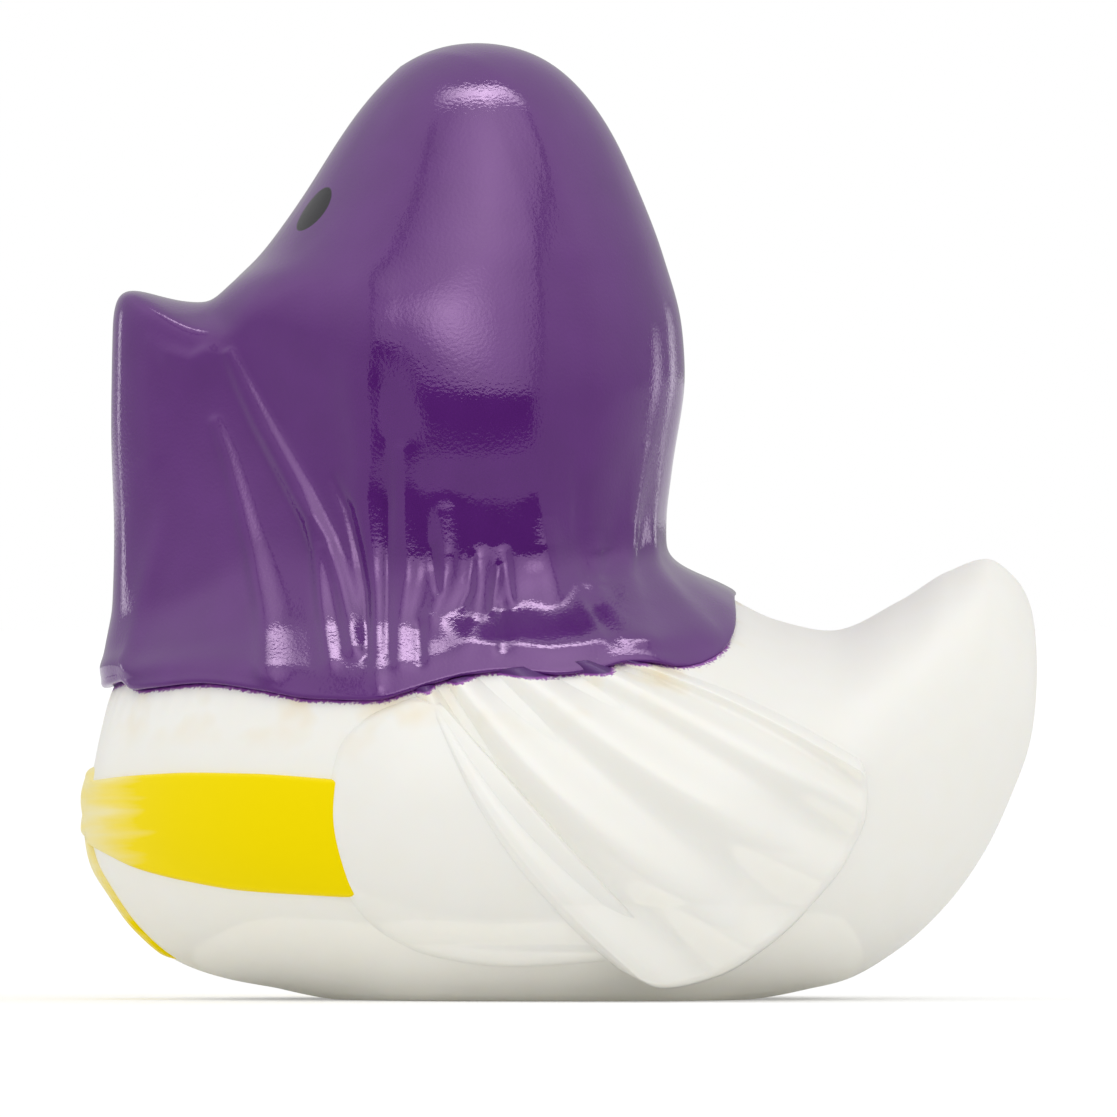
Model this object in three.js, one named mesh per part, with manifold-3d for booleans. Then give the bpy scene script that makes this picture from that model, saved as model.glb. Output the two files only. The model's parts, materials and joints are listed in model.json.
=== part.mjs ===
// Bath duck in a hooded robe, one hollow moulding of soft vinyl.
// The duck faces -X, +Z is up, lengths are millimetres, and the origin lies under its middle on the base.
import * as THREE from 'three';
import { mergeVertices } from 'three/addons/utils/BufferGeometryUtils.js';
import Module from 'manifold-3d';

const wasm = await Module();
wasm.setup();

// Driving dimensions of the body
const bodyLength = 84.2;
const bodyWidth = 67;
const bodyHeight = 39.1;
const wall = 2.6;
const ventDiameter = 3;

// Driving dimensions of the hood, which hangs over head and beak
const crownHeight = 85;
const hemHeight = 28;
const hoodLength = 54.7;
const hoodSetback = 1.95;
const headWidth = 45;
const beakWidth = 25;
const clothThickness = 0.8;
const foldHeight = 1.3;

// Driving dimensions of the sash, its knot and the sleeved wings
const sashRelief = 0.5;
const knotRelief = 0.8;
const knotWidth = 9;
const tieWidth = 11;
const thighRelief = 1.3;
const sleeveRelief = 2;
const pleatDepth = 1.6;

// Fineness of the facets
const bodyColumns = 38;
const bodyRows = 30;
const hoodColumns = 68;
const hoodRows = 31;
const hemRow = 29;
const cavityColumns = 18;
const cavityRows = 18;
const sashSteps = [34, 3];
const tieSteps = [4, 8];
const knotSteps = [6, 8];
const thighSteps = [22, 8];
const sleeveSteps = [12, 26];
const ventSides = 16;

const chestX = -(bodyLength - knotRelief) / 2;
const hoodFrontX = chestX + hoodSetback;
const embed = wall / 2; // how far raised work reaches into the wall

// A smooth curve through [place, value] points that never overshoots them
function curve(points) {
  const steps = points.slice(1).map((point, i) => (point[1] - points[i][1]) / (point[0] - points[i][0]));
  const slopes = points.map((point, i) => {
    if (i === 0) return steps[0];
    if (i === steps.length) return steps[i - 1];
    const product = steps[i - 1] * steps[i];
    return product > 0 ? (2 * product) / (steps[i - 1] + steps[i]) : 0;
  });
  return (place) => {
    if (place <= points[0][0]) return points[0][1];
    const last = points.length - 1;
    if (place >= points[last][0]) return points[last][1];
    const i = points.findIndex((point) => point[0] > place) - 1;
    const span = points[i + 1][0] - points[i][0];
    const t = (place - points[i][0]) / span;
    const rise = points[i][1] + (points[i + 1][1] - points[i][1]) * t * t * (3 - 2 * t);
    return rise + span * t * (1 - t) * (slopes[i] * (1 - t) - slopes[i + 1] * t);
  };
}

// Larger of two lengths, blended where they are closer than the given radius
function blendedMax(a, b, radius) {
  const overlap = Math.max(radius - Math.abs(a - b), 0) / radius;
  return Math.max(a, b) + (overlap * overlap * radius) / 4;
}

const { clamp, degToRad, lerp, radToDeg } = THREE.MathUtils;
const squircle = (value, power) => Math.sign(value) * Math.abs(value) ** (2 / power);

// Body outlines: place is the station from chest to tail, values are hundredths of the body's height or width
const chestLevel = 41.7;
const tailLevel = 75.2;
const bodyTop = curve([
  [0, chestLevel], [5, 54.2], [10, 69.6], [15, 81.6], [20, 90.6], [30, 100.8], [42, 105.4], [52, 102],
  [60, 93.4], [65, 86], [69, 83.7], [75, 90.3], [80, 97], [85, 100], [90, 96], [95, 88.7], [100, tailLevel],
]);
const bodyBottom = curve([
  [0, chestLevel], [5, 31.2], [10, 24.1], [15, 15.4], [20, 8.4], [25, 4.6], [30, 2.2], [35, -1], [42, -6],
  [50, -7], [57, -5], [62, -1], [66, 1.6], [70, 4.1], [75, 11.3], [80, 21.4], [85, 33.8], [90, 47.7],
  [95, 59.6], [100, tailLevel],
]);
const bodyHalf = curve([
  [0, 0], [5, 19], [10, 36], [20, 63], [30, 83], [40, 95], [50, 100], [60, 97], [70, 81], [80, 55], [90, 31],
  [95, 17], [100, 0],
]);
const widestLevel = curve([
  [0, chestLevel], [10, 44], [30, 43.5], [60, 44], [70, 48.5], [80, 57.5], [90, 68.5], [100, tailLevel],
]);
const upperPower = curve([[0, 2], [20, 1.9], [50, 1.9], [70, 1.75], [85, 1.6], [100, 1.9]]);
const lowerPower = curve([[0, 2], [20, 2.2], [50, 2.5], [70, 2.3], [90, 2]]);

// The body's cross-section at a station, grown or shrunk all round by an offset
function bodySection(station, offset) {
  const percent = station * 100;
  const grow = offset * Math.min(1, 3 * Math.sin(Math.PI * station)); // the offset fades towards both ends
  return {
    x: chestX - offset + ((bodyLength + 2 * offset) * (1 - Math.cos(Math.PI * station))) / 2,
    top: (bodyTop(percent) * bodyHeight) / 100 + grow,
    bottom: (bodyBottom(percent) * bodyHeight) / 100 - grow,
    widest: (widestLevel(percent) * bodyHeight) / 100,
    half: (bodyHalf(percent) * bodyWidth) / 200 + grow,
    upper: upperPower(percent),
    lower: lowerPower(percent),
  };
}

function stationAt(x, offset) {
  const share = (x - chestX + offset) / (bodyLength + 2 * offset);
  return Math.acos(1 - 2 * clamp(share, 0, 1)) / Math.PI;
}

// Half the body's width at a place of the side view, or 0 beyond its outline
function flank(x, z, offset = 0) {
  const section = bodySection(stationAt(x, offset), offset);
  const above = z > section.widest;
  const share = above
    ? (z - section.widest) / (section.top - section.widest)
    : (section.widest - z) / (section.widest - section.bottom);
  if (!(share < 1)) return 0;
  const power = above ? section.upper : section.lower;
  return section.half * (1 - share ** power) ** (1 / power);
}

// Hood frame: along runs 0 to 100 from its front to its back, up runs 0 to 100 from hem to crown
const hoodUp = (z) => (100 * (z - hemHeight)) / (crownHeight - hemHeight);
const hoodAlong = (x) => (100 * (x - hoodFrontX)) / hoodLength;
const hoodX = (along) => hoodFrontX + (along * hoodLength) / 100;

// Head outlines: place is the fall from the crown, as a root so that the crown is round
const headBack = curve([
  [0, 59.4], [14, 69.4], [24, 74.9], [36, 80.7], [47, 85.3], [58, 89.9], [67, 92.9], [72, 93.3], [82, 91.1],
  [87, 90.2], [100, 90.2],
]);
const headFront = curve([
  [0, 59.4], [14, 50], [24, 44.7], [36, 38.6], [47, 32.7], [53, 28.4], [58, 24], [62, 19], [66, 17.5],
  [72, 20], [80, 23], [90, 24], [100, 21],
]);
const headHalf = curve([
  [0, 0], [14, 25], [24, 41], [31, 51], [36, 58], [45, 70], [53, 81], [58, 88], [65, 95.5], [71, 99],
  [75, 100], [80, 98.5], [85, 95], [90, 94], [100, 95],
]);

// Whether a point is inside the head, and further from its surface than a margin
function insideHead(x, y, z, margin = 0) {
  const up = hoodUp(z + margin);
  if (up >= 100) return false;
  const fall = 100 * Math.sqrt(1 - Math.max(up, 0) / 100);
  const front = hoodX(headFront(fall)) + margin;
  const back = hoodX(headBack(fall)) - margin;
  const half = (headHalf(fall) * headWidth) / 200 - margin;
  if (half <= 0 || back <= front) return false;
  return ((2 * x - front - back) / (back - front)) ** 2 + (y / half) ** 2 < 1;
}

// The cloth in front: it lies on the beak and hangs from its rim to the hem
const drapeRoot = 38;
const drapeBack = 30;
const drapePower = 2.2;
const drapeFront = curve([
  [0, 0.5], [3, -0.2], [5, -0.8], [8, -0.5], [12, 0.2], [23, 0.5], [40, 0], [57, 0.3], [60, 0.9],
]);
const drapeHalf = curve([[0, 152], [10, 132], [25, 114], [40, 103], [55, 100], [62, 94]]);
const beakTop = curve([
  [0.3, 58.8], [1.1, 60.4], [3.1, 61.6], [5, 61.3], [8.9, 60.2], [12.8, 59.5], [16, 59.4], [25, 60], [40, 61],
]);
const beakRound = 8;
const beakArch = 2.5;

function insideDrape(x, y, z, margin = 0) {
  const up = hoodUp(z + margin);
  const along = hoodAlong(x - margin);
  const half = (drapeHalf(up) * beakWidth) / 200 - margin;
  const across = Math.abs(y) / half;
  if (up > beakTop(along) - beakRound * across ** beakArch) return false;
  const depth = along < drapeRoot ? drapeRoot - drapeFront(up) : drapeBack;
  return Math.abs((along - drapeRoot) / depth) ** drapePower + across ** drapePower < 1;
}

// Folds of the hood on its flank: paths of [along, up], a width in millimetres and a share of foldHeight
const folds = [
  { path: [[6.7, 24], [6.8, 16], [5.5, 10], [2.8, 2]], width: 1.5, height: 0.6 },
  { path: [[7.1, 53.4], [10.4, 50.9], [13.6, 49.9], [16.2, 51.5]], width: 1.6, height: 0.7 },
  { path: [[18.3, 40], [21.1, 28.5], [24.2, 20.7], [25.5, 12.9], [26.1, 0]], width: 1.8, height: 1 },
  { path: [[19, 51.6], [23.4, 41.5], [28.2, 32], [33, 23], [36, 14.5], [38.5, 0]], width: 2.1, height: 1.2 },
  { path: [[36.5, 32], [38.5, 27], [39.9, 20.7], [41.1, 12.9], [41.9, 2]], width: 1.1, height: -0.7 },
  { path: [[43, 57.4], [43.8, 47.3], [43.7, 20.7], [44, 0]], width: 1.7, height: 0.8 },
  { path: [[49.8, 34], [49.8, 20.7], [49.5, 12.9], [48.2, 3]], width: 1.5, height: 1 },
  { path: [[57, 27], [56.7, 20], [55.8, 12.9], [54.5, 6]], width: 1.4, height: 1 },
  { path: [[63.2, 25], [63, 19], [62.6, 9]], width: 1.7, height: 0.9 },
  { path: [[71.3, 27], [71.8, 12.9], [71.8, 4]], width: 2, height: 1 },
  { path: [[75.6, 34.8], [76.1, 25.4], [76.9, 17.6], [78.2, 12.9], [81.8, 6]], width: 1, height: -0.6 },
  { path: [[79.9, 25], [80, 16], [82, 6]], width: 1.2, height: 0.8 },
];

// Distance in millimetres from a place of the side view to a fold's path, and its share along the path
function nearestOnPath(path, along, up) {
  const toX = hoodLength / 100;
  const toZ = (crownHeight - hemHeight) / 100;
  let best = { distance: Infinity, share: 0 };
  for (let i = 0; i < path.length - 1; i += 1) {
    const [ax, az] = [(path[i + 1][0] - path[i][0]) * toX, (path[i + 1][1] - path[i][1]) * toZ];
    const [bx, bz] = [(along - path[i][0]) * toX, (up - path[i][1]) * toZ];
    const t = clamp((ax * bx + az * bz) / (ax * ax + az * az), 0, 1);
    const distance = Math.hypot(bx - t * ax, bz - t * az);
    if (distance < best.distance) best = { distance, share: (i + t) / (path.length - 1) };
  }
  return best;
}

// Height of all folds at a place of the side view: each fold fades in over the first third of its path
function foldRise(along, up) {
  let rise = 0;
  for (const fold of folds) {
    const near = nearestOnPath(fold.path, along, up);
    const fade = clamp(near.share * 3, 0.15, 1);
    rise += fold.height * foldHeight * fade * Math.exp(-((near.distance / fold.width) ** 2));
  }
  return rise;
}

// The hood is drawn as rays from a point inside its shoulders
const rayLift = 8;
const bellyLift = 2;
const rayOrigin = new THREE.Vector3(hoodX(47), 0, hemHeight + rayLift);
const longestRay = 80;
const halvings = 20;

function reach(inside, direction) {
  let near = 0;
  let far = longestRay;
  for (let i = 0; i < halvings; i += 1) {
    const middle = (near + far) / 2;
    const { x, y, z } = rayOrigin.clone().addScaledVector(direction, middle);
    if (inside(x, y, z)) near = middle;
    else far = middle;
  }
  return near;
}

const insideCloth = (x, y, z) => Math.abs(y) < flank(x, z, clothThickness);

function rayDirection(azimuth, elevation) {
  const level = Math.cos(elevation);
  return new THREE.Vector3(level * Math.cos(azimuth), -level * Math.sin(azimuth), Math.sin(elevation));
}

// Radii of the hollows between head and beak, at the cheeks and round the shoulders
const beakBlend = 1.2;
const cheekBlend = 9;
const cheekStart = 0.4;
const shoulderBlend = 4;

function hoodReach(direction) {
  const sideways = clamp(Math.abs(direction.y) / cheekStart, 0, 1);
  const face = blendedMax(
    reach(insideHead, direction), reach(insideDrape, direction), beakBlend + cheekBlend * sideways);
  return blendedMax(face, reach(insideCloth, direction), shoulderBlend);
}

// Dip of the rays to the wavy hem, in degrees below level, by degrees from the tail round to the beak
const hemDip = curve([
  [0, -1.3], [12, -1], [20, 0.4], [28, 2.6], [34, 5], [39, 6.9], [43, 8.4], [46, 8.8], [49.5, 8.5], [53, 8.7],
  [58, 10], [65, 11.2], [70.5, 11.3], [78, 12.4], [84, 14], [89, 15.5], [93.5, 16.7], [98, 17], [107, 17.2],
  [117, 16.3], [132, 15.4], [145, 16], [153, 16.4], [160, 15.2], [170, 15.8], [180, 16.4],
]);
const rowElevation = curve([[0, 90], [0.22, 62], [0.5, 43], [1, 0]]);
const flankCrowding = 0.15; // columns stand closer together on the flanks, where the folds are
const foldStart = 0.15; // how far a ray points sideways where the folds begin
const foldFull = 0.5;

// A closed mesh made from a sphere, whose points are placed by their angle round the axis and share along it
function shapedSphere(columns, rows, place) {
  const sphere = new THREE.SphereGeometry(1, columns, rows);
  return reshaped(sphere, (point) => {
    const azimuth = Math.hypot(point.x, point.z) < 1e-4 ? 0 : Math.atan2(point.z, point.x);
    return place(azimuth, Math.acos(clamp(point.y, -1, 1)) / Math.PI);
  });
}

// A closed mesh made from a box, whose points are placed by two shares across it and by the layer, 0 or 1
function shapedPlate([lengthSteps, widthSteps], place) {
  const box = new THREE.BoxGeometry(1, 1, 1, lengthSteps, widthSteps, 1);
  return reshaped(box, (point) => place(point.x + 0.5, point.y + 0.5, point.z + 0.5));
}

function reshaped(geometry, place) {
  geometry.deleteAttribute('normal');
  geometry.deleteAttribute('uv');
  const merged = mergeVertices(geometry, 1e-4);
  const positions = merged.getAttribute('position');
  const point = new THREE.Vector3();
  for (let i = 0; i < positions.count; i += 1) {
    const moved = place(point.fromBufferAttribute(positions, i));
    positions.setXYZ(i, moved.x, moved.y, moved.z);
  }
  return solid(merged);
}

function solid(geometry) {
  return new wasm.Manifold(new wasm.Mesh({
    numProp: 3,
    vertProperties: geometry.getAttribute('position').array,
    triVerts: Uint32Array.from(geometry.getIndex().array),
  }));
}

// Body of the duck, a loft of rounded sections from chest to tail. It is cut flat below, and what lies nearly
// as low as the cut is pressed flat with it, so that the duck stands on one clear face.
const flattened = 0.3;

function bodySolid(columns, rows, offset, floor) {
  return shapedSphere(columns, rows, (angle, station) => {
    const section = bodySection(station, offset);
    const power = Math.sin(angle) > 0 ? section.upper : section.lower;
    const lift = squircle(Math.sin(angle), power);
    const height = lift > 0 ? section.top - section.widest : section.widest - section.bottom;
    const level = section.widest + height * lift;
    const z = level < floor + flattened ? floor : level;
    return new THREE.Vector3(section.x, section.half * squircle(Math.cos(angle), power), z);
  });
}

function hoodSolid() {
  const belly = new THREE.Vector3(rayOrigin.x, 0, hemHeight + bellyLift);
  return shapedSphere(hoodColumns, hoodRows, (angle, share) => {
    const azimuth = angle + flankCrowding * Math.sin(2 * angle);
    const row = share * hoodRows;
    const hemElevation = -degToRad(hemDip(Math.abs(radToDeg(azimuth))));
    const fromHem = rowElevation(Math.min(row / hemRow, 1)) / 90;
    const direction = rayDirection(azimuth, lerp(hemElevation, Math.PI / 2, fromHem));
    const point = rayOrigin.clone().addScaledVector(direction, hoodReach(direction));
    const sideways = clamp((Math.abs(direction.y) - foldStart) / (foldFull - foldStart), 0, 1);
    point.addScaledVector(direction, sideways * foldRise(hoodAlong(point.x), hoodUp(point.z)));
    const tuck = clamp((row - hemRow) / (hoodRows - hemRow), 0, 1); // rows past the hem close inside the body
    return point.lerp(belly, Math.sqrt(tuck));
  });
}

// Whether a point is inside the hood or shoulders, a wall thickness under their surface
function insideWall(x, y, z) {
  if (Math.abs(y) < flank(x, z, -wall)) return true;
  return z > hemHeight && (insideHead(x, y, z, wall) || insideDrape(x, y, z, wall));
}

// The hollow reaches no further in any direction than it could in the directions beside it
function hoodCavity() {
  const turn = Math.PI / cavityColumns;
  const tilt = Math.PI / cavityRows / 2;
  return shapedSphere(cavityColumns, cavityRows, (azimuth, share) => {
    const elevation = Math.PI * (0.5 - share);
    const around = [[0, 0], [turn, 0], [-turn, 0], [0, tilt], [0, -tilt]];
    const rays = around.map(([sideways, upwards]) => rayDirection(azimuth + sideways, elevation + upwards));
    const inner = Math.min(...rays.map((ray) => reach(insideWall, ray)));
    const point = rayOrigin.clone().addScaledVector(rays[0], inner);
    point.z = Math.max(point.z, wall);
    return point;
  });
}

// Body frame: along runs 0 to 100 from chest to tail, up runs 0 to 100 from base to tail top
const bodyX = (along) => chestX + (along * bodyLength) / 100;
const bodyZ = (up) => (up * bodyHeight) / 100;

// A point on the body's flank, raised by a relief, on the duck's left (side -1) or right (side 1).
// Below the height hangFrom, where the flank turns under, raised work hangs nearly straight down.
const hangShare = 0.5;

function onFlank(along, up, side, relief, hangFrom = 0) {
  const x = bodyX(along);
  const z = bodyZ(up);
  const level = z + hangShare * Math.max(bodyZ(hangFrom) - z, 0);
  return new THREE.Vector3(x, side * (flank(x, level) + relief), z);
}

// Sash round the chest, from thigh to thigh
const sashEnd = 29;
const sashUpper = curve([[0, 49.8], [6, 51.2], [13, 52], [19, 51.8], [27, 50.5]]);
const sashLower = curve([[0, 35], [6, 29.5], [12, 26.5], [17, 24.8], [27, 23.4]]);

// Place across the chest: -1 and 1 are the two flanks at the given end, 0 is the middle of the front
function acrossChest(turn, end, up, relief) {
  const z = bodyZ(up);
  const angle = (turn * Math.PI) / 2;
  const pivot = bodyX(end);
  const ray = [-Math.cos(angle), Math.sin(angle)];
  let near = 0;
  let far = bodyLength;
  for (let i = 0; i < halvings; i += 1) {
    const middle = (near + far) / 2;
    const x = pivot + ray[0] * middle;
    if (x > chestX && Math.abs(ray[1] * middle) < flank(x, z)) near = middle;
    else far = middle;
  }
  const out = near + relief;
  return new THREE.Vector3(pivot + ray[0] * out, ray[1] * out, z);
}

function sash() {
  return shapedPlate(sashSteps, (across, rise, layer) => {
    const turn = (across - 0.5) * 2;
    const along = sashEnd * (1 - Math.cos((turn * Math.PI) / 2));
    const up = lerp(sashLower(along), sashUpper(along), rise);
    return acrossChest(-turn, sashEnd, up, layer > 0.5 ? sashRelief : -embed);
  });
}

// Tie end that hangs from the knot down the middle of the chest
const tieTop = 38;
const tieFoot = 9;

function tieEnd() {
  return shapedPlate(tieSteps, (across, rise, layer) => {
    const up = lerp(tieFoot, tieTop, rise);
    const spread = tieWidth / bodyWidth * (1.1 - 0.5 * rise);
    return acrossChest((0.5 - across) * spread * 2, sashEnd, up, layer > 0.5 ? sashRelief : -embed);
  });
}

// Knot of the sash, a cushion in two bulges one over the other
const knotFoot = 36;
const knotTop = 53;

function knot() {
  return shapedPlate(knotSteps, (across, rise, layer) => {
    const up = lerp(knotFoot, knotTop, rise);
    const round = Math.sqrt(Math.sin(Math.PI * clamp(across, 0.04, 0.96)));
    const bulge = 0.75 + 0.25 * Math.abs(Math.cos(2 * Math.PI * rise - 0.6));
    const end = Math.min(1, 0.4 + 6 * rise, 0.4 + 6 * (1 - rise));
    const width = (knotWidth / bodyWidth) * (0.8 + 0.2 * bulge);
    const relief = layer > 0.5 ? knotRelief * round * bulge * end : -embed;
    return acrossChest((0.5 - across) * width * 2, sashEnd, up, relief);
  });
}

// Rounded thigh that shows in front of the sleeve and under it: its edge, then the line it rises to
const thighEdge = [
  curve([[0, 34.5], [12, 29.6], [24, 26.3], [38, 25.2], [52, 26.6], [64, 30.4], [76, 37], [88, 45], [100, 56]]),
  curve([[0, 69], [12, 64.5], [24, 56.5], [38, 42], [52, 27.5], [64, 16.2], [76, 10], [88, 7.9], [100, 9.5]]),
];
const thighSpine = [curve([[0, 37], [100, 60]]), curve([[0, 68], [100, 14]])];
const thighHang = 13;

function thigh(side) {
  return shapedPlate(thighSteps, (round, inward, layer) => {
    const place = 100 * (side < 0 ? round : 1 - round);
    const depth = inward ** 1.4;
    const [along, up] = [0, 1].map((axis) => lerp(thighEdge[axis](place), thighSpine[axis](place), depth));
    const swell = thighRelief * Math.sin((Math.PI / 2) * Math.min(1, inward * 2)) ** 0.7;
    return layer > 0.5 ? onFlank(along, up, side, swell, thighHang) : onFlank(along, up, side, -embed);
  });
}

// Pleated sleeve, a fan from the shoulder to the cuff. Across is 0 at its front edge and 100 at its back edge
const shoulder = [curve([[0, 34], [100, 57]]), curve([[0, 71], [50, 76], [100, 78]])];
const cuff = [
  curve([[0, 56], [8, 60.5], [20, 66], [35, 71.5], [50, 76], [65, 79.8], [80, 81.8], [91, 82], [100, 81.3]]),
  curve([[0, 7.2], [8, 3], [20, 5.5], [35, 12.5], [50, 21.5], [65, 32], [80, 42], [91, 49], [100, 54.5]]),
];
const sleeveBow = curve([[0, 2.2], [50, 0], [100, 0]]);
const sleeveSag = curve([[0, 4], [50, 0], [100, -2.5]]);
const ridges = [[6, 8], [20, 33], [46, 59], [78, 80], [97, 97]]; // each pleat's place at shoulder and cuff
const sleeveHang = 22;

function pleatRise(across, length) {
  const nearest = ridges.map(([start, end], i) => [lerp(start, end, length), i]);
  return Math.cos(2 * Math.PI * curve(nearest)(across));
}

function sleeve(side) {
  return shapedPlate(sleeveSteps, (length, width, layer) => {
    const across = 100 * (side < 0 ? width : 1 - width);
    const bow = Math.sin(Math.PI * length);
    const [along, up] = [0, 1].map((axis) => lerp(shoulder[axis](across), cuff[axis](across), length));
    const edge = Math.min(1, 0.3 + across / 6, 0.2 + (100 - across) / 8);
    const rise = sleeveRelief * (0.2 + 0.8 * length) + (pleatDepth / 2) * pleatRise(across, length);
    const place = [along - bow * sleeveBow(across), up - bow * sleeveSag(across), side];
    return layer > 0.5 ? onFlank(...place, rise * edge, sleeveHang) : onFlank(...place, -embed);
  });
}

function ventHole() {
  const drill = new THREE.CylinderGeometry(ventDiameter / 2, ventDiameter / 2, 6 * wall, ventSides);
  drill.rotateX(Math.PI / 2);
  return reshaped(drill, (point) => point.clone());
}

let duck = bodySolid(bodyColumns, bodyRows, 0, 0).add(hoodSolid()).add(sash()).add(tieEnd()).add(knot());
for (const side of [-1, 1]) {
  duck = duck.add(thigh(side)).add(sleeve(side));
}
const cavity = bodySolid(cavityColumns, cavityRows, -wall, wall).add(hoodCavity());
duck = duck.subtract(cavity).subtract(ventHole());

const mesh = duck.getMesh();
const geometry = new THREE.BufferGeometry();
geometry.setAttribute('position', new THREE.BufferAttribute(mesh.vertProperties, 3));
geometry.setIndex(new THREE.BufferAttribute(mesh.triVerts, 1));
geometry.computeVertexNormals();

const vinyl = new THREE.MeshStandardMaterial({ color: 0xf4f2ea, roughness: 0.45, metalness: 0 });
const moulding = new THREE.Mesh(geometry, vinyl);
moulding.name = 'duck';

const group = new THREE.Group();
group.add(moulding);
export default group;
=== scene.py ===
import bpy
import bmesh
import json
import math
import numpy as np
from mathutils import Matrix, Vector

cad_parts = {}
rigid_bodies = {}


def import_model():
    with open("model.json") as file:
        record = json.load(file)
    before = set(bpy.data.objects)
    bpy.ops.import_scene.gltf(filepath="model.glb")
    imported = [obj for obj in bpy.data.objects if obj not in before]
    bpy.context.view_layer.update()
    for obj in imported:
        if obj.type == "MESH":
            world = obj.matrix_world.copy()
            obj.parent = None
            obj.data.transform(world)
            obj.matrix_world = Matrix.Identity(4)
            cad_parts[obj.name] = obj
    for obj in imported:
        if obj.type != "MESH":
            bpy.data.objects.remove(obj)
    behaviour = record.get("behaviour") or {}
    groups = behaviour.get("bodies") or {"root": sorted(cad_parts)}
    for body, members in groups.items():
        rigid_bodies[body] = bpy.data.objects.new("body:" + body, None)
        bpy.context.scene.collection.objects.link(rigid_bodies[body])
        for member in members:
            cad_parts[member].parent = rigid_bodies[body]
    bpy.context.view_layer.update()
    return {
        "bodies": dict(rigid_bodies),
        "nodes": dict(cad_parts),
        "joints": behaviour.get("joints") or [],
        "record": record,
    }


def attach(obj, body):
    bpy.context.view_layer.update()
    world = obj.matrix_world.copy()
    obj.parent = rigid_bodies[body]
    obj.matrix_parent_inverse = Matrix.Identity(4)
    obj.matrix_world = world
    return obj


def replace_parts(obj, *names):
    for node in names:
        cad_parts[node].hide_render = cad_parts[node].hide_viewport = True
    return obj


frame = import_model()

# camera
view = {
    "frameWidth": 0.09921,   # what the picture shows across, at the duck's middle
    "centreHeight": 0.03913,
    "distance": 4.0,         # long lens, so that near and far side come out alike
    "sensor": 36.0,
}
cameraData = bpy.data.cameras.new("camera")
cameraData.sensor_width = view["sensor"]
cameraData.lens = view["sensor"] * view["distance"] / view["frameWidth"]
cameraData.clip_start, cameraData.clip_end = 0.1, 60
camera = bpy.data.objects.new("camera", cameraData)
camera.location = (0, -view["distance"], view["centreHeight"])
camera.rotation_euler = (math.radians(90), 0, 0)
bpy.context.scene.collection.objects.link(camera)
bpy.context.scene.camera = camera
print("camera set")

# shape helpers, all in millimetres
# the duck faces -X, its folds are drawn in the side view


def curve(*points):
    px, py = np.array(points, float).T
    steps = np.diff(py) / np.diff(px)
    slopes = np.concatenate([steps[:1], np.zeros(len(px) - 2), steps[-1:]])
    product = steps[:-1] * steps[1:]
    total = np.where(product > 0, steps[:-1] + steps[1:], 1)
    slopes[1:-1] = np.where(product > 0, 2 * product / total, 0)

    def at(place):
        place = np.clip(place, px[0], px[-1])
        i = np.clip(np.searchsorted(px, place, side="right") - 1, 0, len(px) - 2)
        span = px[i + 1] - px[i]
        t = (place - px[i]) / span
        rise = py[i] + (py[i + 1] - py[i]) * t * t * (3 - 2 * t)
        return rise + span * t * (1 - t) * (slopes[i] * (1 - t) - slopes[i + 1] * t)

    return at


def blendedMax(a, b, radius):  # larger of two, blended where they are close
    overlap = np.maximum(radius - np.abs(a - b), 0) / radius
    return np.maximum(a, b) + overlap * overlap * radius / 4


def mix(a, b, share):
    return a + (b - a) * share


def smooth(low, high, value):  # 0 at low, 1 at high, rounded at both ends
    t = np.clip((value - low) / (high - low), 0, 1)
    return t * t * (3 - 2 * t)


def squircle(value, power):
    return np.sign(value) * np.abs(value) ** (2 / power)


def soften(grid, passes, wrap):  # evens out a field on a grid of rows and columns
    for _ in range(passes):
        if wrap:
            grid = (np.roll(grid, 1, 1) + 2 * grid + np.roll(grid, -1, 1)) / 4
        inner = (grid[:-2] + 2 * grid[1:-1] + grid[2:]) / 4
        grid = np.concatenate([grid[:1], inner, grid[-1:]])
    return grid


# body outline
body = {
    "length": 84.2, "width": 67.0, "height": 39.1, "chestX": -41.7,
    "columns": 340, "rows": 270, "baseSoftness": 1.0,
    "ventRadius": 1.5, "ventDepth": 2.6, "ventRoom": 1.6,  # room: faces cut away, in radii
    "gathers": 62, "gatherDepth": 0.06, "gatherDrop": 1.2, "gatherReach": 1.6, "gatherTurn": (1.9, 2.3),
}
chestLevel, tailLevel = 41.7, 75.2
bodyTop = curve((0, chestLevel), (5, 54.2), (10, 69.6), (15, 81.6), (20, 90.6), (30, 100.8), (42, 105.4),
                (52, 102), (60, 93.4), (65, 86), (69, 83.7), (75, 90.3), (80, 97), (85, 100), (90, 96),
                (95, 88.7), (100, tailLevel))
bodyBottom = curve((0, chestLevel), (5, 31.2), (10, 24.1), (15, 15.4), (20, 8.4), (25, 4.6), (30, 2.2),
                   (35, -1), (42, -6), (50, -7), (57, -5), (62, -1), (66, 1.6), (70, 4.1), (75, 11.3),
                   (80, 21.4), (85, 33.8), (90, 47.7), (95, 59.6), (100, tailLevel))
bodyHalf = curve((0, 0), (5, 19), (10, 36), (20, 63), (30, 83), (40, 95), (50, 100), (60, 97), (70, 81),
                 (80, 55), (90, 31), (95, 17), (100, 0))
widestLevel = curve((0, chestLevel), (10, 44), (30, 43.5), (60, 44), (70, 48.5), (80, 57.5), (90, 68.5),
                    (100, tailLevel))
upperPower = curve((0, 2), (20, 1.9), (50, 1.9), (70, 1.75), (85, 1.6), (100, 1.9))
lowerPower = curve((0, 2), (20, 2.2), (50, 2.5), (70, 2.3), (90, 2))


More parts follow.
